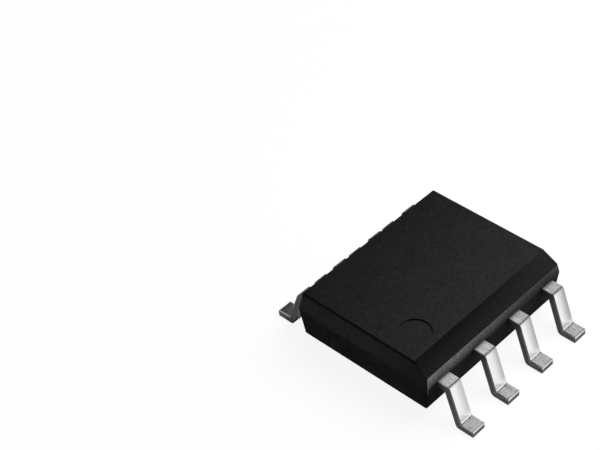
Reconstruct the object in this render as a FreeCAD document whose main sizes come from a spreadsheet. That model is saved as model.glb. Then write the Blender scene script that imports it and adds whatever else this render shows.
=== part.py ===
import FreeCAD, Part
import math
import os
import re
import Sketcher

# Eight-lead small-outline chip, in millimetres and degrees.
# The origin is on the board under the middle of the package, +Z is up, Y runs along
# the package and +X points to the chamfered side, which carries leads 1 to 4.

SIZES = {
    # Moulded package. The parting line is level with the upper face of the leads.
    "body_length": 4.9,
    "body_width": 3.9,
    "top_height": 1.67,
    "parting_height": 1.14,
    "underside_height": 0.345,
    "upper_draft": 9.5,
    "lower_draft": 6.0,
    "mould_edge_radius": 0.04,
    # Long chamfer along the side of lead 1.
    "chamfer_run": 0.36,
    "chamfer_drop": 0.265,
    # Round mark beside lead 1, its middle measured in from the parting line's side and end.
    "mark_diameter": 0.79,
    "mark_depth": 0.04,
    "mark_side_inset": 1.015,
    "mark_end_inset": 0.82,
    # Ejector pin prints in the underside, measured in from the parting line's ends.
    "ejector_diameter": 0.9,
    "ejector_depth": 0.04,
    "ejector_end_inset": 1.15,
    # Leads as formed outside the package. The foot's length is that of its upper face.
    "lead_pitch": 1.27,
    "lead_span": 6.0,
    "lead_width": 0.41,
    "lead_thickness": 0.18,
    "shoulder_length": 0.36,
    "foot_length": 0.35,
    "shoulder_outer_radius": 0.12,
    "shoulder_inner_radius": 0.04,
    "heel_outer_radius": 0.12,
    "heel_inner_radius": 0.06,
    "rolled_edge_size": 0.02,
    # Lead ends inside the resin, flat as stamped.
    "neck_length": 0.2,
    "taper_length": 0.15,
    "head_width": 0.8,
    "corner_head_width": 0.54,
    "lock_hole_diameter": 0.22,
    # Die pad, set down below the leads and carried by two tie bars.
    "pad_length": 2.7,
    "pad_width": 2.0,
    "pad_downset": 0.15,
    "pad_to_head_gap": 0.2,
    "tie_bar_width": 0.3,
    "tie_bar_inset": 0.1,
    "tie_bar_to_head_gap": 0.35,
    # Die and the layer that holds it to its pad.
    "die_length": 1.9,
    "die_width": 1.5,
    "die_thickness": 0.25,
    "attach_thickness": 0.025,
    "attach_margin": 0.06,
    # Bond wires.
    "wire_diameter": 0.025,
    "neck_rise": 0.1,
    "loop_height": 0.15,
    "loop_lean": 0.05,
    "ball_diameter": 0.07,
    "ball_height": 0.02,
    "stitch_diameter": 0.06,
    "stitch_height": 0.008,
    "bond_side_inset": 0.13,
    "outer_bond_inset": 0.2,
    "inner_bond_inset": 0.65,
    "stitch_inset": 0.12,
    "corner_stitch_inset": 0.3,
}

LEADS_PER_SIDE = 4
SIDES = (1, -1)

# Forms worked out from the sizes above, each a formula that the document evaluates.
PITCH_MIDDLE = (LEADS_PER_SIDE - 1) / 2
LEAD_UNDERSIDE = "(parting_height - lead_thickness)"
SHOULDER_END = "(body_width / 2 + shoulder_length)"
FOOT_START = "(lead_span / 2 - foot_length)"
LEG_RUN = f"({FOOT_START} - {SHOULDER_END})"
LEG_DROP = "(parting_height - lead_thickness)"
# How far the underside's bends lie inward of the upper side's, for a strip of even thickness.
BEND_SHIFT = f"lead_thickness * (sqrt({LEG_RUN}^2 + {LEG_DROP}^2) - {LEG_RUN}) / {LEG_DROP}"
NECK_START = "(body_width / 2 - neck_length)"
HEAD_ROOT = f"({NECK_START} - taper_length)"
HEAD_TIP = "(pad_width / 2 + pad_to_head_gap)"
CORNER_HEAD_TIP = "(tie_bar_width / 2 + tie_bar_to_head_gap)"
PAD_TOP = "(parting_height - pad_downset)"
DIE_TOP = f"({PAD_TOP} + attach_thickness + die_thickness)"
BOND_DROP = f"({DIE_TOP} - parting_height)"

doc = FreeCAD.newDocument("soic_chip")
V = FreeCAD.Vector


def make_sheet():
    """One row for each driving size: its name, its number and its alias."""
    sheet = doc.addObject("Spreadsheet::Sheet", "sizes")
    for row, (name, size) in enumerate(SIZES.items(), start=1):
        sheet.set(f"A{row}", name)
        sheet.set(f"B{row}", str(size))
        sheet.setAlias(f"B{row}", name)
    doc.recompute()
    return sheet


def formula(text):
    """A formula over the sheet's cells: every name with an underscore is a size."""
    return re.sub(r"[a-z]+(?:_[a-z]+)+", r"sizes.\g<0>", str(text))


def number(text):
    """The present value of a formula, for the first placing of a sketch's points."""
    return float(sheet.evalExpression(formula(text)))


def tie(feature, **properties):
    """Binds properties to formulas; a double underscore in a name stands for a dot."""
    for name, text in properties.items():
        feature.setExpression(name.replace("__", "."), formula(text))


def new_body(label):
    return doc.addObject("PartDesign::Body", label)


def new_sketch(body, role, name, level="0"):
    """A sketch on one of the body's own origin planes, lifted along the plane's normal."""
    plane = next(item for item in body.Origin.OriginFeatures if item.Role == role)
    sketch = body.newObject("Sketcher::SketchObject", name)
    sketch.AttachmentSupport = [(plane, "")]
    sketch.MapMode = "FlatFace"
    tie(sketch, AttachmentOffset__Base__z=level)
    return sketch


def hold_point(sketch, geometry, end, x, y):
    """Fixes a point of a sketch at two formulas."""
    for kind, text in (("DistanceX", x), ("DistanceY", y)):
        index = sketch.addConstraint(
            Sketcher.Constraint(kind, -1, 1, geometry, end, number(text))
        )
        tie(sketch, **{f"Constraints[{index}]": text})


def draw_route(sketch, corners):
    """Straight lines from corner to corner, each corner a pair of formulas."""
    points = [V(number(x), number(y), 0) for x, y in corners]
    lines = [
        sketch.addGeometry(Part.LineSegment(start, end))
        for start, end in zip(points, points[1:])
    ]
    for line, following in zip(lines, lines[1:]):
        sketch.addConstraint(Sketcher.Constraint("Coincident", line, 2, following, 1))
    for line, (x, y) in zip(lines, corners):
        hold_point(sketch, line, 1, x, y)
    return lines


def draw_outline(sketch, corners):
    """A closed outline of straight lines through corners given as pairs of formulas."""
    lines = draw_route(sketch, corners + corners[:1])
    sketch.addConstraint(Sketcher.Constraint("Coincident", lines[-1], 2, lines[0], 1))


def draw_rectangle(sketch, width, length):
    """A rectangle round the sketch's origin."""
    right, back = f"({width}) / 2", f"({length}) / 2"
    draw_outline(
        sketch,
        [(f"-{right}", f"-{back}"), (right, f"-{back}"), (right, back), (f"-{right}", back)],
    )


def draw_circle(sketch, x, y, diameter):
    radius = number(diameter) / 2
    circle = sketch.addGeometry(
        Part.Circle(V(number(x), number(y), 0), V(0, 0, 1), radius)
    )
    hold_point(sketch, circle, 3, x, y)
    index = sketch.addConstraint(Sketcher.Constraint("Diameter", circle, 2 * radius))
    tie(sketch, **{f"Constraints[{index}]": diameter})


def draw_octagon(sketch, x, y, width):
    """Eight sides round a centre: what is round on the wires, kept to few faces."""
    sides = 8
    angles = [360 / sides * (side + 0.5) for side in range(sides)]
    radius = f"{width} / 2 / cos({180 / sides})"
    draw_outline(
        sketch,
        [(f"{x} + {radius} * cos({angle})", f"{y} + {radius} * sin({angle})") for angle in angles],
    )


def add_pad(body, sketch, name, length, **options):
    """Raises a sketch to a solid; options are the feature's own properties."""
    pad = body.newObject("PartDesign::Pad", name)
    pad.Profile = sketch
    for option, setting in options.items():
        setattr(pad, option, setting)
    tie(pad, Length=length)
    return pad


def add_cut(body, sketch, name, depth, **options):
    """Sinks a sketch into the solid and makes sure that something was cut away."""
    doc.recompute()
    before = body.Shape.Volume
    cut = body.newObject("PartDesign::Pocket", name)
    cut.Profile = sketch
    for option, setting in options.items():
        setattr(cut, option, setting)
    tie(cut, Length=depth)
    doc.recompute()
    if not body.Shape.Volume < before:
        raise RuntimeError(f"{name} cuts nothing")
    return cut


def dress_up(body, kind, name, part_kind, wanted, **formulas):
    """A feature on those edges or faces of the body for which wanted(item) is true."""
    doc.recompute()
    base = body.Tip
    items = base.Shape.Edges if part_kind == "Edge" else base.Shape.Faces
    chosen = [f"{part_kind}{index}" for index, item in enumerate(items, start=1) if wanted(item)]
    if not chosen:
        raise RuntimeError(f"{name} finds nothing to work on")
    feature = body.newObject(kind, name)
    feature.Base = (base, chosen)
    tie(feature, **formulas)
    return feature


def add_fillet(body, name, radius, wanted):
    return dress_up(body, "PartDesign::Fillet", name, "Edge", wanted, Radius=radius)


def add_chamfer(body, name, size, wanted):
    return dress_up(body, "PartDesign::Chamfer", name, "Edge", wanted, Size=size)


def near(first, second):
    return math.isclose(first, second, abs_tol=1e-4)


def make_moulding():
    """The resin package before its inserts are taken out of it."""
    body = new_body("moulding")
    outline = new_sketch(body, "XY_Plane", "parting_outline", "parting_height")
    draw_rectangle(outline, "body_width", "body_length")
    parting_plane = body.newObject("PartDesign::Plane", "parting_plane")
    parting_plane.AttachmentSupport = outline.AttachmentSupport
    parting_plane.MapMode = "FlatFace"
    tie(parting_plane, AttachmentOffset__Base__z="parting_height")
    add_pad(body, outline, "upper_half", "top_height - parting_height")
    add_draft(body, parting_plane, "upper_walls", "upper_draft", above=True)
    add_pad(body, outline, "lower_half", "parting_height - underside_height", Reversed=True)
    add_draft(body, parting_plane, "lower_walls", "lower_draft", above=False)

    top_edge = "body_width / 2 - (top_height - parting_height) * tan(upper_draft)"
    wall_at_chamfer = f"{top_edge} + chamfer_drop * tan(upper_draft)"
    profile = new_sketch(body, "XZ_Plane", "chamfer_profile")
    draw_outline(
        profile,
        [
            (f"{top_edge} - chamfer_run", "top_height"),
            (wall_at_chamfer, "top_height - chamfer_drop"),
            (wall_at_chamfer, "top_height"),
        ],
    )
    add_cut(body, profile, "lead_one_chamfer", "2 * body_length", Midplane=True)
    round_moulding(body)
    mark = new_sketch(body, "XY_Plane", "mark_outline", "top_height")
    draw_circle(
        mark,
        "body_width / 2 - mark_side_inset",
        "mark_end_inset - body_length / 2",
        "mark_diameter",
    )
    add_cut(body, mark, "lead_one_mark", "mark_depth")
    prints = new_sketch(body, "XY_Plane", "ejector_outline", "underside_height")
    for side in SIDES:
        draw_circle(
            prints, 0, f"{side} * (body_length / 2 - ejector_end_inset)", "ejector_diameter"
        )
    add_cut(body, prints, "ejector_prints", "ejector_depth", Reversed=True)
    return body


def add_draft(body, parting_plane, name, angle, above):
    """Leans one half's upright walls inward from the parting line."""
    parting = number("parting_height")

    def in_this_half(face):
        upright = near(face.normalAt(0, 0).z, 0)
        return upright and (face.CenterOfMass.z > parting) == above

    draft = dress_up(body, "PartDesign::Draft", name, "Face", in_this_half, Angle=angle)
    draft.NeutralPlane = (parting_plane, [""])
    draft.Reversed = not above
    return draft


def round_moulding(body):
    """Softens every edge that the mould leaves, apart from the sharp parting line."""
    parting = number("parting_height")

    def off_the_parting_line(edge):
        return not all(near(vertex.Z, parting) for vertex in edge.Vertexes)

    add_fillet(body, "softened_edges", "mould_edge_radius", off_the_parting_line)


def make_lead(lead_number):
    """One lead: a stamped strip with a flat head in the resin and a gull-wing end."""
    row, place = divmod(lead_number - 1, LEADS_PER_SIDE)
    side = SIDES[row]
    body = new_body(f"lead_{lead_number}")
    body.Placement.Rotation = FreeCAD.Rotation(V(0, 0, 1), 180 * row)
    tie(body, Placement__Base__y=f"{side * (place - PITCH_MIDDLE)} * lead_pitch")

    profile = new_sketch(body, "XZ_Plane", "gull_wing_profile")
    draw_outline(
        profile,
        [
            (NECK_START, "parting_height"),
            (SHOULDER_END, "parting_height"),
            (FOOT_START, "lead_thickness"),
            ("lead_span / 2", "lead_thickness"),
            ("lead_span / 2", 0),
            (f"{FOOT_START} - {BEND_SHIFT}", 0),
            (f"{SHOULDER_END} - {BEND_SHIFT}", LEAD_UNDERSIDE),
            (NECK_START, LEAD_UNDERSIDE),
        ],
    )
    add_pad(body, profile, "gull_wing", "lead_width", Midplane=True)
    bend_lead(body)
    roll_lead_edges(body)

    plan = new_sketch(body, "XY_Plane", "head_outline", LEAD_UNDERSIDE)
    if place in (0, LEADS_PER_SIDE - 1):
        draw_corner_head(plan, inward=1 if place == 0 else -1)
    else:
        draw_middle_head(plan)
    add_pad(body, plan, "flat_head", "lead_thickness")
    return body


def bend_lead(body):
    """Turns the four sharp corners of the gull wing into bends."""
    bends = (
        ("shoulder_outer_radius", SHOULDER_END, "parting_height"),
        ("shoulder_inner_radius", f"{SHOULDER_END} - {BEND_SHIFT}", LEAD_UNDERSIDE),
        ("heel_inner_radius", FOOT_START, "lead_thickness"),
        ("heel_outer_radius", f"{FOOT_START} - {BEND_SHIFT}", 0),
    )
    for radius, x, z in bends:
        bend_x, bend_z = number(x), number(z)

        def at_bend(edge):
            return all(near(v.X, bend_x) and near(v.Z, bend_z) for v in edge.Vertexes)

        add_fillet(body, radius.replace("radius", "bend"), radius, at_bend)


def roll_lead_edges(body):
    """Breaks the upper long edges from neck to toe, and the toe's upper edge."""
    shoulder_top = number("parting_height")
    foot_top = number("lead_thickness")
    toe = number("lead_span / 2")

    def on_punched_side(edge):
        along_shoulder = all(near(v.Z, shoulder_top) for v in edge.Vertexes)
        along_toe = all(near(v.Z, foot_top) and near(v.X, toe) for v in edge.Vertexes)
        lengthwise = near(edge.Vertexes[0].Y, edge.Vertexes[-1].Y)
        return (along_shoulder and lengthwise) or along_toe

    add_chamfer(body, "rolled_edges", "rolled_edge_size", on_punched_side)


def draw_middle_head(plan):
    """The head of a middle lead: a wide paddle with a hole that the resin fills."""
    neck, head = "lead_width / 2", "head_width / 2"
    draw_outline(
        plan,
        [
            (NECK_START, f"-{neck}"),
            (NECK_START, neck),
            (HEAD_ROOT, head),
            (HEAD_TIP, head),
            (HEAD_TIP, f"-{head}"),
            (HEAD_ROOT, f"-{head}"),
        ],
    )
    draw_circle(plan, HEAD_ROOT, 0, "lock_hole_diameter")


def draw_corner_head(plan, inward):
    """The head of a corner lead, which reaches round the end of the die pad."""
    outer = f"{-inward} * lead_width / 2"
    inner = f"{inward} * (corner_head_width - lead_width / 2)"
    draw_outline(
        plan,
        [
            (NECK_START, outer),
            (NECK_START, f"{inward} * lead_width / 2"),
            (HEAD_ROOT, inner),
            (CORNER_HEAD_TIP, inner),
            (CORNER_HEAD_TIP, outer),
        ],
    )
    middle = f"{inward} * (corner_head_width - lead_width) / 2"
    draw_circle(plan, HEAD_ROOT, middle, "lock_hole_diameter")


def make_die_pad():
    """The pad and its two tie bars, each with a step down from the leads' level."""
    body = new_body("die_pad")
    bar_end = "(body_length / 2 - tie_bar_inset)"
    step_foot = "(pad_length / 2)"
    step_head = f"({step_foot} + pad_downset)"
    pad_under = f"({PAD_TOP} - lead_thickness)"
    right_half = [
        (step_foot, PAD_TOP),
        (step_head, "parting_height"),
        (bar_end, "parting_height"),
        (bar_end, LEAD_UNDERSIDE),
        (step_head, LEAD_UNDERSIDE),
        (step_foot, pad_under),
    ]
    left_half = [(f"-{y}", z) for y, z in reversed(right_half)]
    strip = new_sketch(body, "YZ_Plane", "tie_bar_profile")
    draw_outline(strip, right_half + left_half)
    add_pad(body, strip, "tie_bars", "tie_bar_width", Midplane=True)

    paddle = new_sketch(body, "XY_Plane", "pad_outline", pad_under)
    draw_rectangle(paddle, "pad_width", "pad_length")
    add_pad(body, paddle, "pad", "lead_thickness")
    return body


def make_block(label, width, length, height, floor):
    """A plain block centred over the origin, standing on the level given."""
    block = doc.addObject("Part::Box", label)
    tie(block, Length=width, Width=length, Height=height)
    tie(block, Placement__Base__x=f"-({width}) / 2", Placement__Base__y=f"-({length}) / 2")
    tie(block, Placement__Base__z=floor)
    return block


def make_die_attach():
    return make_block(
        "die_attach",
        "die_width + 2 * attach_margin",
        "die_length + 2 * attach_margin",
        "attach_thickness",
        PAD_TOP,
    )


def make_die():
    return make_block(
        "die", "die_width", "die_length", "die_thickness", f"{PAD_TOP} + attach_thickness"
    )


def make_bond_wire(lead_number):
    """A wire from the die to its lead, drawn along its own X from the ball at its origin."""
    row, place = divmod(lead_number - 1, LEADS_PER_SIDE)
    side = SIDES[row]
    toward = 1 if place > PITCH_MIDDLE else -1
    ball_x = "(die_width / 2 - bond_side_inset)"
    if place in (0, LEADS_PER_SIDE - 1):
        ball_y = "(die_length / 2 - outer_bond_inset)"
        stitch_x = f"({CORNER_HEAD_TIP} + corner_stitch_inset)"
        stitch_y = (
            f"({PITCH_MIDDLE} * lead_pitch + lead_width / 2 - corner_head_width + stitch_inset)"
        )
    else:
        ball_y = "(die_length / 2 - inner_bond_inset)"
        stitch_x = f"({HEAD_TIP} + stitch_inset)"
        stitch_y = "(lead_pitch / 2)"
    reach_x, reach_y = f"({stitch_x} - {ball_x})", f"({stitch_y} - {ball_y})"
    reach = f"sqrt({reach_x}^2 + {reach_y}^2)"

    body = new_body(f"bond_wire_{lead_number}")
    tie(
        body,
        Placement__Base__x=f"{side} * {ball_x}",
        Placement__Base__y=f"{side * toward} * {ball_y}",
        Placement__Base__z=DIE_TOP,
        Placement__Rotation__Angle=f"{toward} * atan2({reach_y}; {reach_x}) + {180 * row} deg",
    )
    section = new_sketch(body, "XY_Plane", "wire_section")
    draw_octagon(section, 0, 0, "wire_diameter")
    route = new_sketch(body, "XZ_Plane", "wire_route")
    lines = draw_route(
        route,
        [(0, 0), (0, "neck_rise"), ("loop_lean", "loop_height"), *past_stitch(reach)],
    )
    wire = body.newObject("PartDesign::AdditivePipe", "wire")
    wire.Profile = section
    wire.Spine = (route, [f"Edge{index + 1}" for index in lines])
    wire.Transition = "Right corner"

    below = new_sketch(body, "XY_Plane", "head_level", f"-{BOND_DROP}")
    draw_rectangle(below, f"4 * {reach}", f"4 * {reach}")
    add_cut(body, below, "seat_on_head", f"loop_height + {BOND_DROP}")
    stitch = new_sketch(body, "XY_Plane", "stitch_outline", f"-{BOND_DROP}")
    draw_octagon(stitch, reach, 0, "stitch_diameter")
    add_pad(body, stitch, "stitch", "stitch_height")
    ball = new_sketch(body, "XY_Plane", "ball_outline")
    draw_octagon(ball, 0, 0, "ball_diameter")
    add_pad(body, ball, "ball", "ball_height")
    return body


def past_stitch(reach):
    """The route's last corners: on past the stitch in line with the wire's long fall."""
    overrun = 0.1
    fall = f"(loop_height + {BOND_DROP})"
    return [
        (
            f"{reach} + {overrun} * ({reach} - loop_lean)",
            f"-{BOND_DROP} - {overrun} * {fall}",
        )
    ]


def make_mould_body(moulding, inserts):
    """The finished package: the moulding less everything that the resin flowed round."""
    joined = doc.addObject("Part::MultiFuse", "inserts")
    joined.Shapes = inserts
    package = doc.addObject("Part::Cut", "mould_body")
    package.Base = moulding
    package.Tool = joined
    return package


def check_document(nodes):
    """Stops if a feature failed or a node isn't one sound solid."""
    failed = [item.Name for item in doc.Objects if {"Invalid", "Error"} & set(item.State)]
    if failed:
        raise RuntimeError(f"failed features: {failed}")
    for node in nodes:
        shape = node.Shape
        if shape.isNull() or not shape.isValid() or len(shape.Solids) != 1:
            raise RuntimeError(f"{node.Label} isn't one sound solid")


def write_nodes(nodes):
    os.makedirs("parts", exist_ok=True)
    for node in nodes:
        node.Shape.exportStep(f"parts/{node.Label}.step")
        print(node.Label, f"{node.Shape.Volume:.5f} mm3")


sheet = make_sheet()
lead_numbers = range(1, len(SIDES) * LEADS_PER_SIDE + 1)
inserts = [make_lead(lead_number) for lead_number in lead_numbers]
inserts += [make_die_pad(), make_die_attach(), make_die()]
inserts += [make_bond_wire(lead_number) for lead_number in lead_numbers]
package = make_mould_body(make_moulding(), inserts)
doc.recompute()
check_document([package, *inserts])
write_nodes([package, *inserts])
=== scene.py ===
import bpy
import math
from mathutils import Matrix, Vector

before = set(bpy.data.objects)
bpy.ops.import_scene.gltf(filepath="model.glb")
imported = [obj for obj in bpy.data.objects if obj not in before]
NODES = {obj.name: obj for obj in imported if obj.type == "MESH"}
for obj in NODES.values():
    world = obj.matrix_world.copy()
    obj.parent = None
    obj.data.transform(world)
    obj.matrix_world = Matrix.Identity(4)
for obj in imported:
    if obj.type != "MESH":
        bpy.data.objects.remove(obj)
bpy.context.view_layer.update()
MM = 0.001

# Camera: where the photograph was taken from, found by fitting the package's standard sizes to it.
AIM_HEIGHT = 0.8 * MM
DISTANCE = 38.446 * MM
PLACE_AZIMUTH, PLACE_ELEVATION = 40.041, 44.778
AXIS_AZIMUTH, AXIS_ELEVATION = 46.196, 41.924
ROLL = -4.455
SENSOR_WIDTH = 36.0
FOCAL_PIXELS, FRAME_PIXELS = 1619.1, 600
NEAREST, FARTHEST = 0.1 * MM, 2000 * MM

# Sizes of the package that the materials follow.
TOP_HEIGHT, BEVEL_HEIGHT, PARTING_HEIGHT = 1.67 * MM, 1.405 * MM, 1.14 * MM
LEAD_PITCH = 1.27 * MM
LEAD_WIDTH, LEAD_THICKNESS = 0.41 * MM, 0.18 * MM
SHOULDER_END, FOOT_START, TOE = 2.31 * MM, 2.65 * MM, 3.0 * MM
# A row of leads along Y, from the middle of its first lead to that of its last.
LEAD_ROW = (-1.5 * LEAD_PITCH, 1.5 * LEAD_PITCH)

# Below, a ramp is given by where it starts and ends, and then by its values there if they aren't 0 and 1.
# Noise and streaks are given by their features a metre, the streaks' along X, Y and Z.
# Most of what a noise yields lies in this span.
NOISE_SPAN = (0.3, 0.7)


def direction(azimuth, elevation):
    """Unit vector towards an azimuth and elevation in degrees; azimuth 0 is -Y and 90 is +X."""
    a, e = math.radians(azimuth), math.radians(elevation)
    return Vector((math.sin(a) * math.cos(e), -math.cos(a) * math.cos(e), math.sin(e)))


def make_camera():
    data = bpy.data.cameras.new("camera")
    data.sensor_width = SENSOR_WIDTH
    data.lens = FOCAL_PIXELS / FRAME_PIXELS * SENSOR_WIDTH
    data.clip_start, data.clip_end = NEAREST, FARTHEST
    camera = bpy.data.objects.new("camera", data)
    bpy.context.scene.collection.objects.link(camera)
    back = direction(AXIS_AZIMUTH, AXIS_ELEVATION)
    right = Vector((0, 0, 1)).cross(back).normalized()
    up = back.cross(right)
    roll = Matrix.Rotation(math.radians(ROLL), 3, back)
    turned = Matrix((roll @ right, roll @ up, back)).transposed()
    place = Vector((0, 0, AIM_HEIGHT)) + direction(PLACE_AZIMUTH, PLACE_ELEVATION) * DISTANCE
    camera.matrix_world = Matrix.Translation(place) @ turned.to_4x4()
    bpy.context.scene.camera = camera


class Graph:
    """A shader tree being wired: add() makes a node, the rest are short names for common ones."""

    def __init__(self, owner):
        owner.use_nodes = True
        self.owner = owner
        self.tree = owner.node_tree
        self.tree.nodes.clear()

    def add(self, kind, inputs=None, **properties):
        node = self.tree.nodes.new("ShaderNode" + kind)
        for key, value in properties.items():
            setattr(node, key, value)
        for key, value in (inputs or {}).items():
            socket = node.inputs[key]
            if isinstance(value, bpy.types.NodeSocket):
                self.tree.links.new(value, socket)
            else:
                socket.default_value = value
        return node

    def math(self, operation, first, second=0.0, third=0.0):
        node = self.add("Math", {0: first, 1: second, 2: third}, operation=operation)
        return node.outputs[0]

    def times(self, first, *others):
        for other in others:
            first = self.math("MULTIPLY", first, other)
        return first

    def largest(self, first, *others):
        for other in others:
            first = self.math("MAXIMUM", first, other)
        return first

    def less(self, value, mask, share):
        """Takes a share off the value where the mask is 1."""
        return self.times(value, self.math("MULTIPLY_ADD", mask, -share, 1.0))

    def swing(self, noise, gain, middle=1.0):
        """Turns noise about 0.5 into swings about a middle."""
        return self.math("MULTIPLY_ADD", self.math("SUBTRACT", noise, 0.5), gain, middle)

    def ramp(self, value, low, high, to_low=0.0, to_high=1.0, smooth=True):
        """Maps low..high to to_low..to_high, held outside it."""
        node = self.add(
            "MapRange",
            {"Value": value, "From Min": low, "From Max": high, "To Min": to_low, "To Max": to_high},
            interpolation_type="SMOOTHSTEP" if smooth else "LINEAR",
        )
        return node.outputs[0]

    def noise(self, vector, scale, detail=3.0, roughness=0.55):
        """Noise about 0.5."""
        inputs = {"Vector": vector, "Scale": scale, "Detail": detail, "Roughness": roughness}
        return self.add("TexNoise", inputs).outputs["Fac"]

    def streaks(self, vector, scales, detail=3.0, roughness=0.55):
        """Noise about 0.5, drawn out along the axes of smaller scale."""
        stretched = self.add("VectorMath", {0: vector, 1: scales}, operation="MULTIPLY").outputs[0]
        return self.noise(stretched, 1.0, detail, roughness)

    def mix(self, factor, first, second):
        """A blend of two colours, each a socket or red, green and blue."""
        first, second = [(*colour, 1) if isinstance(colour, tuple) else colour for colour in (first, second)]
        return self.add("Mix", {0: factor, 6: first, 7: second}, data_type="RGBA").outputs[2]

    def blend(self, factor, first, second):
        """A blend of two numbers, each a socket or a value."""
        return self.add("Mix", {0: factor, 2: first, 3: second}, data_type="FLOAT").outputs[0]

    def grey(self, value):
        return self.add("CombineColor", {0: value, 1: value, 2: value}).outputs[0]

    def finish(self, shader, kind="OutputMaterial"):
        self.add(kind, {"Surface": shader.outputs[0]})
        return self.owner

    def surface(self, colour, rough, relief, bump, metallic=1.0, specular=0.5):
        """Ends the tree in a surface whose relief has a bump, given by its strength and its depth."""
        strength, depth = bump
        normal = self.add("Bump", {"Height": relief, "Strength": strength, "Distance": depth}).outputs[0]
        inputs = {
            "Base Color": colour,
            "Metallic": metallic,
            "Roughness": rough,
            "Specular IOR Level": specular,
            "Normal": normal,
        }
        return self.finish(self.add("BsdfPrincipled", inputs))


def new_graph(name):
    return Graph(bpy.data.materials.new(name))


# Resin: the painted shade of its top by X, and of its bevel by Y.
TOP_SHADE_TONES = (-2.2 * MM, 1.5 * MM, 0.0085, 0.0150)
BEVEL_OUTER_SHADE_TONES = (-2.0 * MM, 2.4 * MM, 0.0080, 0.0105)
BEVEL_INNER_RISE, BEVEL_INNER_POWER = (-1.5 * MM, 2.4 * MM), 2.5
BEVEL_INNER_SHADE_GAIN, BEVEL_INNER_SHADE_LEAST = 0.0098, 0.0025
# The long sides: the painted sheen on the band above the parting line and the painted shade on the wall below
# it by Y, the painted sheen on the front corner by Y and Z, and where the band starts and ends, with painted
# shade at its end, by Z.
BAND_SHEEN_TONES, PLAIN_BAND_SHEEN = (-2.4 * MM, 1.35 * MM, 0.155, 0.046), 0.03
BELOW_SHADE_TONES = (-2.3 * MM, -1.6 * MM, 0.002, 0.0085)
CORNER_FADE = (-2.42 * MM, -2.3 * MM, 1.0, 0.0)
CORNER_SHEEN_TONES = (0.7 * MM, 1.12 * MM, 0.0, 0.042)
BAND_START = (PARTING_HEIGHT - 0.12 * MM, BEVEL_HEIGHT - 0.04 * MM)
BAND_END, BAND_END_SHADE = (BEVEL_HEIGHT - 0.04 * MM, BEVEL_HEIGHT), 0.02
# The end faces' painted shade: above the parting line by X, and their lower part and top edge by Z.
END_SHADE_TONES = (0.3 * MM, 1.8 * MM, 0.0205, 0.0125)
END_PARTING, END_LOWER_SHADE = (PARTING_HEIGHT - 0.08 * MM, PARTING_HEIGHT + 0.08 * MM), 0.001
END_TOP_EDGE, END_EDGE_SHADE = (TOP_HEIGHT - 0.12 * MM, TOP_HEIGHT), 0.002
# Painted shade at the upright corners, and the underside's own tone.
UPRIGHT_CORNER_SHADE, UNDERSIDE_TONE = 0.001, 0.013
# Which face this is: by the normal's X, then by the size of that, then by the normal's Z.
BEVELLED_SIDE_TURN = (-0.1, 0.1)
CORNER_TURN, SIDE_TURN = (0.25, 0.5), (0.85, 0.96)
BEVEL_TURN, TOP_TURN, UNDERSIDE_TURN = (0.4, 0.7), (0.88, 0.97), (-0.9, -0.6)
# Mottle, grain and specks of filler.
MOTTLE, GRAIN, FILLER = 4500, 17000, 60000
MOTTLE_GAIN, GRAIN_GAIN = 0.5, 1.8
SPECKS, SPECK_TONE = (0.68, 0.78), 0.006
# Roughness by the normal's Z, and how far the mottle swings it.
RESIN_ROUGH, RESIN_ROUGH_SWING = (0.5, 0.97, 0.9, 0.5), (-0.08, 0.08)
MOTTLE_RELIEF = 0.6
RESIN_BUMP = (0.25, 0.006 * MM)
RESIN_SPECULAR = 0.075


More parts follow.
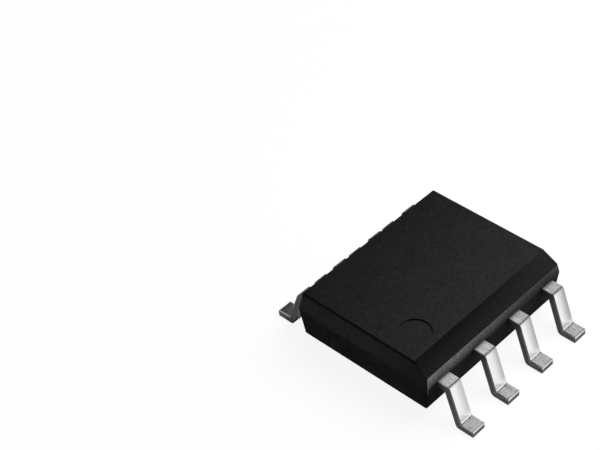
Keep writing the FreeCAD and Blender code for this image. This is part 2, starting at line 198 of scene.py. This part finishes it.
def resin():
    """Black epoxy from a spark-eroded mould: fine grain, mottled filler, painted shade, and a painted sheen
    on the band above the leads.
    """
    g = new_graph("moulding_compound")
    place = g.add("TexCoord").outputs["Object"]
    x, y, z = g.add("SeparateXYZ", {0: place}).outputs
    facing = g.add("SeparateXYZ", {0: g.add("NewGeometry").outputs["Normal"]}).outputs
    up = facing["Z"]
    turn = g.math("ABSOLUTE", facing["X"])

    # Painted shade: the top darkens towards -X, and the bevel towards -Y, most of all along its inner edge.
    top = g.ramp(x, *TOP_SHADE_TONES, smooth=False)
    inner = g.math("POWER", g.ramp(y, *BEVEL_INNER_RISE, smooth=False), BEVEL_INNER_POWER)
    inner = g.math("MULTIPLY_ADD", inner, BEVEL_INNER_SHADE_GAIN, BEVEL_INNER_SHADE_LEAST)
    outer = g.ramp(y, *BEVEL_OUTER_SHADE_TONES)
    bevel = g.blend(g.ramp(z, BEVEL_HEIGHT, TOP_HEIGHT, smooth=False), outer, inner)

    # Above the parting line the walls carry a painted sheen, the bevelled side most of all.
    band = g.ramp(y, *BAND_SHEEN_TONES, smooth=False)
    band = g.blend(g.ramp(facing["X"], *BEVELLED_SIDE_TURN), PLAIN_BAND_SHEEN, band)
    # The painted sheen runs on down the front corner. Below the parting line, painted shade darkens the wall
    # towards -Y.
    corner = g.times(g.ramp(y, *CORNER_FADE), g.ramp(z, *CORNER_SHEEN_TONES))
    below = g.math("ADD", g.ramp(y, *BELOW_SHADE_TONES), corner)
    side = g.blend(g.ramp(z, *BAND_START, smooth=False), below, band)
    # Painted shade darkens the band's top, just under the bevel.
    side = g.blend(g.ramp(z, *BAND_END), side, BAND_END_SHADE)

    # Painted shade darkens the end faces below the parting line, at their top edge and at the upright
    # corners.
    end = g.ramp(x, *END_SHADE_TONES)
    end = g.blend(g.ramp(z, *END_PARTING), END_LOWER_SHADE, end)
    end = g.blend(g.ramp(z, *END_TOP_EDGE), end, END_EDGE_SHADE)
    end = g.blend(g.ramp(turn, *CORNER_TURN), end, UPRIGHT_CORNER_SHADE)

    tone = g.blend(g.ramp(turn, *SIDE_TURN), end, side)
    tone = g.blend(g.ramp(up, *BEVEL_TURN), tone, bevel)
    tone = g.blend(g.ramp(up, *TOP_TURN), tone, top)
    tone = g.blend(g.ramp(up, *UNDERSIDE_TURN), UNDERSIDE_TONE, tone)

    mottle = g.noise(place, MOTTLE, detail=4, roughness=0.6)
    grain = g.noise(place, GRAIN, detail=2, roughness=0.7)
    specks = g.ramp(g.noise(place, FILLER, detail=1), *SPECKS)
    tone = g.times(tone, g.swing(mottle, MOTTLE_GAIN))
    tone = g.times(tone, g.swing(grain, GRAIN_GAIN))
    tone = g.math("MULTIPLY_ADD", specks, SPECK_TONE, tone)

    rough = g.math("ADD", g.ramp(mottle, *NOISE_SPAN, *RESIN_ROUGH_SWING), g.ramp(up, *RESIN_ROUGH))
    relief = g.math("MULTIPLY_ADD", mottle, MOTTLE_RELIEF, grain)
    return g.surface(g.grey(tone), rough, relief, RESIN_BUMP, metallic=0.0, specular=RESIN_SPECULAR)


def depth_in_strip(g, x, z):
    """Distance below a lead's upper face, followed round both of its bends."""
    run, drop = FOOT_START - SHOULDER_END, PARTING_HEIGHT - LEAD_THICKNESS
    length = math.hypot(run, drop)
    leg_offset = (SHOULDER_END * drop + PARTING_HEIGHT * run) / length
    leg = g.math("MULTIPLY_ADD", g.math("ABSOLUTE", x), -drop / length, leg_offset)
    leg = g.math("MULTIPLY_ADD", z, -run / length, leg)
    shoulder = g.math("SUBTRACT", PARTING_HEIGHT, z)
    foot = g.math("SUBTRACT", LEAD_THICKNESS, z)
    return g.math("MAXIMUM", g.math("MINIMUM", shoulder, leg), foot)


# Leads. Which face this is: by the size of the normal's Y, by its outward part, by its Z, and by either.
CUT_LEAN, ROLLED_LEAN = (0.75, 0.9), (0.45, 0.6)
TOE_TURN, ROLLED_LEG_TURN = (0.96, 0.99), (0.3, 0.5)
LEVEL_TURN, LIP_TURN = (0.6, 0.95), (0.3, 0.5)
UNDER_TURN = (-0.5, -0.2, 1.0, 0.0)
# Where on the lead this is, by Z.
HEEL = (0.2 * MM, 0.5 * MM, 1.0, 0.0)
FOOT_TO_SHOULDER = (0.4 * MM, 0.8 * MM)
SHOULDER_LEVEL = (0.9 * MM, 1.1 * MM)
# Draw lines along the strip, fainter ones across it, wide streaks, shear marks on the cut sides, and pits.
DRAW_LINES, CROSS_LINES = (3500, 26000, 3500), (26000, 5000, 26000)
WIDE_STREAKS, SHEAR_MARKS = (900, 9000, 900), (30000, 3000, 6000)
PITS = 30000
DRAW_GAIN, LEVEL_DRAW_GAIN, WIDE_GAIN = 0.15, 1.7, 0.25
# Painted reflection and shade: the legs darken across their width, sooner and further from lead to lead along
# Y, and a painted highlight pales them at the heel.
LEG_TONE, LEG_SHADED_TONES = 0.9, (0.54, 0.38)
LEG_FALL_STARTS = (-0.58, -0.85)
HEEL_HIGHLIGHT_GAIN = 0.03
ABOVE_HEEL_HIGHLIGHT = (0.2 * MM, 0.37 * MM, 0.25, 0.0)
# Painted shade: the shoulders and the feet darken outward, by X, and along Y, and a shoulder's root is dark.
SHOULDER_SHADE_TONES = (2.05 * MM, 2.18 * MM, 0.97, 0.83)
SHOULDER_ROOT_SHADE = (1.98 * MM, 2.01 * MM, 0.35, 1.0)
SHOULDER_ROW_SHADE = (1.0, 0.86)
FOOT_SHADE_TONES = (2.75 * MM, 2.87 * MM, 0.97, 0.89)
FOOT_ROW_SHADE = (0.5 * LEAD_PITCH, 1.5 * LEAD_PITCH, 1.0, 0.87)
# Painted shade, where and how much it takes off: the toe's lip by X, the far row by its side, and rolled
# edges by Y.
LIP, LIP_SHADE_LOSS = (TOE - 0.042 * MM, TOE - 0.03 * MM), 0.5
FAR_ROW, FAR_ROW_SHADE_LOSS = (-0.5, 0.5, 1.0, 0.0), 0.5
SHADED_EDGES, EDGE_SHADE_LOSS = (-1.7 * MM, -1.2 * MM), 0.75
# Painted shade tones for the legs' rolled edges and for faces that look down and in.
ROLLED_LEG_SHADE, UNDER_SHADE_TONE = 0.12, 0.06
BRIGHTEST = 0.97
# The cut sides and the toe, by the depth in the strip: a duller cut darkened further with painted shade, and
# a burnished stripe on the toe that is also a painted highlight. The punch's entry is fainter above the foot,
# by Z.
ENTRY, ENTRY_BY_HEIGHT = (0.0, 0.055 * MM, 0.15, 0.0), (0.18 * MM, 0.3 * MM, 1.0, 0.35)
CUT_GAIN, CUT_SHADE_TONE = 0.075, 0.009
BURNISH_HIGHLIGHT_START, BURNISH_HIGHLIGHT_END = (0.012 * MM, 0.02 * MM), (0.045 * MM, 0.06 * MM, 1.0, 0.0)
BURNISH_HIGHLIGHT_GAIN, TOE_GAIN, TOE_SHADE_TONE = 0.85, 0.10, 0.014
# Roughness along the draw lines, and what the cut, the level and the heel's faces add to it.
PLATE_ROUGH = (0.22, 0.3)
SHEARED_ROUGH, LEVEL_ROUGH, HEEL_ROUGH = 0.24, 0.14, -0.1
PIT_RELIEF = 0.4
PLATE_BUMP = (0.35, 0.003 * MM)


def tin_plate():
    """Dull tin over copper alloy: draw lines along the faces, painted light and shade across them, and cut
    sides and rolled leg edges darkened with painted shade.
    """
    g = new_graph("plated_lead")
    place = g.add("TexCoord").outputs["Object"]
    x, y, z = g.add("SeparateXYZ", {0: place}).outputs
    facing = g.add("SeparateXYZ", {0: g.add("NewGeometry").outputs["Normal"]}).outputs
    hand = g.math("SIGN", x)
    away = g.math("ABSOLUTE", x)
    outward = g.times(facing["X"], hand)
    lean = g.math("ABSOLUTE", facing["Y"])

    # Which face of the strip this is.
    side = g.ramp(lean, *CUT_LEAN)
    toe = g.ramp(outward, *TOE_TURN)
    level = g.ramp(facing["Z"], *LEVEL_TURN)
    under = g.largest(g.ramp(facing["Z"], *UNDER_TURN), g.ramp(outward, *UNDER_TURN))
    rolled = g.ramp(lean, *ROLLED_LEAN)
    rolled_leg = g.times(rolled, g.ramp(outward, *ROLLED_LEG_TURN))
    # On a bend a face is half level, and 4 * level * (1 - level) peaks at 1 there.
    bend = g.times(level, 4.0, g.math("SUBTRACT", 1.0, level), g.math("SUBTRACT", 1.0, rolled))
    heel = g.times(g.ramp(z, *HEEL), g.math("SUBTRACT", 1.0, level))

    # Draw lines run along the strip, so they stay put while X and Z change. Shear marks run through it.
    lines = g.streaks(place, DRAW_LINES, roughness=0.7)
    cross = g.streaks(place, CROSS_LINES, roughness=0.7)
    wide = g.streaks(place, WIDE_STREAKS, detail=2)
    pits = g.noise(place, PITS, roughness=0.6)
    shear = g.streaks(place, SHEAR_MARKS, roughness=0.7)
    marks = g.swing(lines, g.math("MULTIPLY_ADD", level, LEVEL_DRAW_GAIN, DRAW_GAIN), 0.0)
    marks = g.swing(cross, level, marks)
    marks = g.swing(pits, level, marks)
    tone = g.swing(wide, WIDE_GAIN, g.math("ADD", marks, 1.0))

    # Distance across a lead's face, from -1 at its first edge to 1; leads 5 to 8 are turned round.
    offset = g.math("SUBTRACT", g.times(y, hand), LEAD_PITCH / 2)
    offset = g.math("WRAP", offset, LEAD_PITCH / 2, -LEAD_PITCH / 2)
    crosswise = g.math("DIVIDE", offset, LEAD_WIDTH / 2)

    # Painted reflection and shade darken the legs across their width and from lead to lead; a painted
    # highlight pales them at the heel.
    fall_start = g.ramp(y, *LEAD_ROW, *LEG_FALL_STARTS, smooth=False)
    least = g.ramp(y, *LEAD_ROW, *LEG_SHADED_TONES, smooth=False)
    leg = g.ramp(crosswise, fall_start, 1.0, LEG_TONE, least)
    leg = g.math("MULTIPLY_ADD", heel, HEEL_HIGHLIGHT_GAIN, leg)
    leg = g.math("ADD", leg, g.ramp(z, *ABOVE_HEEL_HIGHLIGHT))
    # Painted shade darkens the shoulders and feet outward, along the row, and at a shoulder's root.
    shoulder = g.times(g.ramp(away, *SHOULDER_SHADE_TONES), g.ramp(away, *SHOULDER_ROOT_SHADE))
    shoulder = g.times(shoulder, g.ramp(y, *LEAD_ROW, *SHOULDER_ROW_SHADE, smooth=False))
    foot = g.times(g.ramp(away, *FOOT_SHADE_TONES), g.ramp(y, *FOOT_ROW_SHADE))
    flat = g.blend(g.ramp(z, *FOOT_TO_SHOULDER), foot, shoulder)
    face = g.times(g.blend(level, leg, flat), tone)

    # Painted shade: the lip at the toe is dark, and so are the bends and shoulders on the -X side.
    lip = g.times(g.ramp(away, *LIP), g.ramp(facing["Z"], *LIP_TURN))
    face = g.less(face, lip, LIP_SHADE_LOSS)
    high = g.ramp(z, *SHOULDER_LEVEL)
    shaded = g.times(g.largest(bend, high), g.ramp(hand, *FAR_ROW))
    face = g.less(face, shaded, FAR_ROW_SHADE_LOSS)
    # Painted shade darkens the legs' rolled edges.
    face = g.blend(rolled_leg, face, ROLLED_LEG_SHADE)
    # Painted shade dims the shoulders' rolled edges; only the leads nearest to -Y, 1 and 8, keep them bright.
    edge_shade = g.times(rolled, high, g.ramp(y, *SHADED_EDGES))
    face = g.less(face, edge_shade, EDGE_SHADE_LOSS)
    # Painted shade darkens faces that look down and faces that look in towards the body.
    face = g.math("MINIMUM", g.blend(under, face, UNDER_SHADE_TONE), BRIGHTEST)

    # The cut sides are bright where the punch went in, torn and dark below, and so is the toe. The dark is
    # painted shade over a duller cut, and the toe's burnished stripe is also a painted highlight.
    depth = depth_in_strip(g, x, z)
    entry = g.times(g.ramp(depth, *ENTRY), g.ramp(z, *ENTRY_BY_HEIGHT))
    cut = g.math("MULTIPLY_ADD", shear, CUT_GAIN, g.math("ADD", entry, CUT_SHADE_TONE))
    burnish_highlight = g.times(g.ramp(depth, *BURNISH_HIGHLIGHT_START), g.ramp(depth, *BURNISH_HIGHLIGHT_END))
    end = g.math("MULTIPLY_ADD", burnish_highlight, BURNISH_HIGHLIGHT_GAIN, TOE_SHADE_TONE)
    end = g.math("MULTIPLY_ADD", shear, TOE_GAIN, end)
    colour = g.grey(g.blend(toe, g.blend(side, face, cut), end))

    sheared = g.largest(side, toe)
    rough = g.math("MULTIPLY_ADD", sheared, SHEARED_ROUGH, g.ramp(lines, *NOISE_SPAN, *PLATE_ROUGH))
    rough = g.math("MULTIPLY_ADD", level, LEVEL_ROUGH, rough)
    rough = g.math("MULTIPLY_ADD", heel, HEEL_ROUGH, rough)
    relief = g.math("MULTIPLY_ADD", pits, PIT_RELIEF, lines)
    relief = g.blend(sheared, relief, shear)
    return g.surface(colour, rough, relief, PLATE_BUMP)


ROLLING_LINES, TARNISH = (30000, 1500, 30000), 1800
TARNISHED = (0.35, 0.7)
CLEAN_COPPER, DULL_COPPER = (0.79, 0.46, 0.31), (0.56, 0.30, 0.20)
COPPER_ROUGH = (0.28, 0.45)
COPPER_BUMP = (0.3, 0.003 * MM)


def rolled_copper():
    """Bare copper alloy strip with rolling lines and a faint tarnish."""
    g = new_graph("copper_alloy")
    place = g.add("TexCoord").outputs["Object"]
    lines = g.streaks(place, ROLLING_LINES)
    tarnish = g.noise(place, TARNISH, detail=4, roughness=0.6)
    colour = g.mix(g.ramp(tarnish, *TARNISHED), CLEAN_COPPER, DULL_COPPER)
    rough = g.ramp(lines, *NOISE_SPAN, *COPPER_ROUGH)
    return g.surface(colour, rough, lines, COPPER_BUMP)


FLAKES = 60000.0
DARK_FLAKE, PALE_FLAKE = (0.42, 0.42, 0.40), (0.78, 0.78, 0.75)
PASTE_ROUGH = (0.0, 1.0, 0.3, 0.65)
PASTE_BUMP = (0.3, 0.004 * MM)
PASTE_METALLIC = 0.6


def silver_paste():
    """Cured epoxy full of silver flakes."""
    g = new_graph("silver_epoxy")
    place = g.add("TexCoord").outputs["Object"]
    flakes = g.add("TexVoronoi", {"Vector": place, "Scale": FLAKES})
    shade = g.add("SeparateColor", {0: flakes.outputs["Color"]}).outputs[0]
    colour = g.mix(shade, DARK_FLAKE, PALE_FLAKE)
    rough = g.ramp(shade, *PASTE_ROUGH)
    return g.surface(colour, rough, shade, PASTE_BUMP, metallic=PASTE_METALLIC)


DIE_TOP_TURN = (0.5, 0.9)
SAW_LINES, STAINS = (2000, 2000, 60000), 2500
POLISHED_DARK, POLISHED_PALE = (0.20, 0.21, 0.25), (0.27, 0.26, 0.29)
SAWN_DARK, SAWN_PALE = (0.13, 0.13, 0.14), (0.25, 0.25, 0.27)
SAWN_ROUGH, POLISHED_ROUGH = (0.4, 0.6), (0.06, 0.12)
SILICON_BUMP = (0.2, 0.002 * MM)
SILICON_METALLIC = 0.85


def silicon():
    """Polished silicon: near-mirror above, faint saw lines on the cut sides."""
    g = new_graph("silicon")
    place = g.add("TexCoord").outputs["Object"]
    facing = g.add("SeparateXYZ", {0: g.add("NewGeometry").outputs["Normal"]}).outputs
    top = g.ramp(facing["Z"], *DIE_TOP_TURN)
    saw = g.streaks(place, SAW_LINES)
    stain = g.noise(place, STAINS)
    polished = g.mix(g.ramp(stain, *NOISE_SPAN), POLISHED_DARK, POLISHED_PALE)
    sawn = g.mix(saw, SAWN_DARK, SAWN_PALE)
    sawn_rough = g.ramp(saw, *NOISE_SPAN, *SAWN_ROUGH)
    polished_rough = g.ramp(stain, *NOISE_SPAN, *POLISHED_ROUGH)
    colour = g.mix(top, sawn, polished)
    rough = g.blend(top, sawn_rough, polished_rough)
    return g.surface(colour, rough, saw, SILICON_BUMP, metallic=SILICON_METALLIC)


DRAWN_GRAIN, WEAR = 90000, 12000
BRIGHT_GOLD, WORN_GOLD = (0.92, 0.66, 0.26), (0.84, 0.57, 0.22)
GOLD_ROUGH = (0.16, 0.3)
GOLD_BUMP = (0.2, 0.001 * MM)


def gold():
    """Bright gold wire with the fine grain of drawing."""
    g = new_graph("gold_wire")
    place = g.add("TexCoord").outputs["Object"]
    grain = g.noise(place, DRAWN_GRAIN)
    worn = g.noise(place, WEAR, detail=2)
    colour = g.mix(g.ramp(worn, *NOISE_SPAN), BRIGHT_GOLD, WORN_GOLD)
    rough = g.ramp(grain, *NOISE_SPAN, *GOLD_ROUGH)
    return g.surface(colour, rough, grain, GOLD_BUMP)


FLOOR_HALF = 300 * MM
FLOOR_COLOUR = (0.92, 0.92, 0.92, 1)
WHITE = (1, 1, 1, 1)
# Where the floor looks pale in the leads: on the far and the near side by X, and at the ends by Y.
OPEN_FAR, OPEN_NEAR = (-2.9 * MM, -2.6 * MM, 1.0, 0.0), (1.0 * MM, 1.6 * MM)
OPEN_ENDS = (2.0 * MM, 2.4 * MM)
# The share of plain white in the floor, by the distance from the chip's middle.
FLOOR_WHITE = (6.0 * MM, 25.0 * MM, 0.90, 1.0)


def make_floor():
    corners = [(-1, -1), (1, -1), (1, 1), (-1, 1)]
    mesh = bpy.data.meshes.new("floor")
    mesh.from_pydata([(FLOOR_HALF * x, FLOOR_HALF * y, 0) for x, y in corners], [], [(0, 1, 2, 3)])
    floor = bpy.data.objects.new("floor", mesh)
    bpy.context.scene.collection.objects.link(floor)
    g = new_graph("pale_floor")
    card = g.add("BsdfDiffuse", {"Color": FLOOR_COLOUR})
    white = g.add("Emission", {"Color": WHITE, "Strength": 1.0})
    path = g.add("LightPath").outputs
    # What the leads mirror from under the chip is its shadow.
    place = g.add("NewGeometry").outputs["Position"]
    x, y, _ = g.add("SeparateXYZ", {0: place}).outputs
    ends = g.ramp(g.math("ABSOLUTE", y), *OPEN_ENDS)
    open_floor = g.largest(g.ramp(x, *OPEN_FAR), g.ramp(x, *OPEN_NEAR), ends)
    mirrored = g.times(path["Is Glossy Ray"], open_floor)
    seen = g.largest(path["Is Camera Ray"], mirrored, path["Is Transmission Ray"])
    # Far from the chip the floor is plain white; close by it keeps the chip's shadow.
    distance = g.add("VectorMath", {0: place}, operation="LENGTH").outputs["Value"]
    share = g.times(seen, g.ramp(distance, *FLOOR_WHITE))
    mesh.materials.append(g.finish(g.add("MixShader", {0: share, 1: card.outputs[0], 2: white.outputs[0]})))


# The world's brightness, by the parts of the way that a ray leaves.
SWEEP_TILT, SWEEP = -0.12, (0.36, 0.54, 1.0, 0.0)
SWEEP_GAIN, OVERHEAD = 0.92, 0.08
FRONT, LEFT = (-0.9, 0.3, 0.3, 1.0), (-0.6, 0.0, 0.25, 1.0)
PATCH_START, PATCH_END = (0.35, 0.45), (0.6, 0.7, 1.0, 0.0)
PATCH_FRONT, PATCH_LEFT = (-0.6, -0.45, 1.0, 0.0), (-0.3, -0.1, 1.0, 0.0)
PATCH_GAIN = 0.4
# The lamps: a soft one high behind on the right, and a card close over the chip, given by its edges.
SOFTBOX_AZIMUTH, SOFTBOX_ELEVATION = 150, 62
SOFTBOX_DISTANCE, SOFTBOX_SIZE, SOFTBOX_POWER = 60 * MM, 50 * MM, 0.043
REFLECTOR_X, REFLECTOR_Y = (-2.5 * MM, 2.2 * MM), (-1.0 * MM, 9.5 * MM)
REFLECTOR_HEIGHT, REFLECTOR_RADIANCE = 6.0 * MM, 0.76


def make_lamp(name, width, depth, power):
    """A flat lamp that faces down."""
    data = bpy.data.lights.new(name, "AREA")
    data.shape = "RECTANGLE"
    data.size, data.size_y = width, depth
    data.energy = power
    lamp = bpy.data.objects.new(name, data)
    bpy.context.scene.collection.objects.link(lamp)
    return lamp


def make_studio():
    """A pale sweep at the horizon that dims overhead and towards the front and left, and two lamps."""
    world = bpy.data.worlds.new("studio")
    bpy.context.scene.world = world
    g = Graph(world)
    way = g.add("SeparateXYZ", {0: g.add("TexCoord").outputs["Generated"]}).outputs
    height = g.math("MULTIPLY_ADD", way["X"], SWEEP_TILT, way["Z"])
    strength = g.math("MULTIPLY_ADD", g.ramp(height, *SWEEP), SWEEP_GAIN, OVERHEAD)
    strength = g.times(strength, g.ramp(way["Y"], *FRONT), g.ramp(way["X"], *LEFT))
    # A pale patch low in front, on the left, which the rolled edges of the leads catch.
    patch = g.times(g.ramp(way["Z"], *PATCH_START), g.ramp(way["Z"], *PATCH_END))
    patch = g.times(patch, g.ramp(way["Y"], *PATCH_FRONT), g.ramp(way["X"], *PATCH_LEFT))
    strength = g.math("MULTIPLY_ADD", patch, PATCH_GAIN, strength)
    # The camera itself sees plain white.
    strength = g.blend(g.add("LightPath").outputs["Is Camera Ray"], strength, 1.0)
    g.finish(g.add("Background", {"Color": WHITE, "Strength": strength}), "OutputWorld")

    softbox = make_lamp("softbox", SOFTBOX_SIZE, SOFTBOX_SIZE, SOFTBOX_POWER)
    toward = direction(SOFTBOX_AZIMUTH, SOFTBOX_ELEVATION)
    softbox.location = toward * SOFTBOX_DISTANCE
    softbox.rotation_mode = "QUATERNION"
    softbox.rotation_quaternion = toward.to_track_quat("Z", "Y")
    softbox.visible_glossy = False

    width, depth = REFLECTOR_X[1] - REFLECTOR_X[0], REFLECTOR_Y[1] - REFLECTOR_Y[0]
    reflector = make_lamp("reflector", width, depth, REFLECTOR_RADIANCE * math.pi * width * depth)
    reflector.location = (sum(REFLECTOR_X) / 2, sum(REFLECTOR_Y) / 2, REFLECTOR_HEIGHT)
    reflector.visible_camera = False


make_camera()
make_floor()
make_studio()
inner_materials = {"die_pad": rolled_copper(), "die_attach": silver_paste(), "die": silicon()}
materials = {"mould_body": resin(), **inner_materials}
plate, wire = tin_plate(), gold()
for name, node in NODES.items():
    node.data.materials[0] = materials.get(name) or (plate if name.startswith("lead_") else wire)

bpy.context.scene.view_settings.view_transform = "Standard"
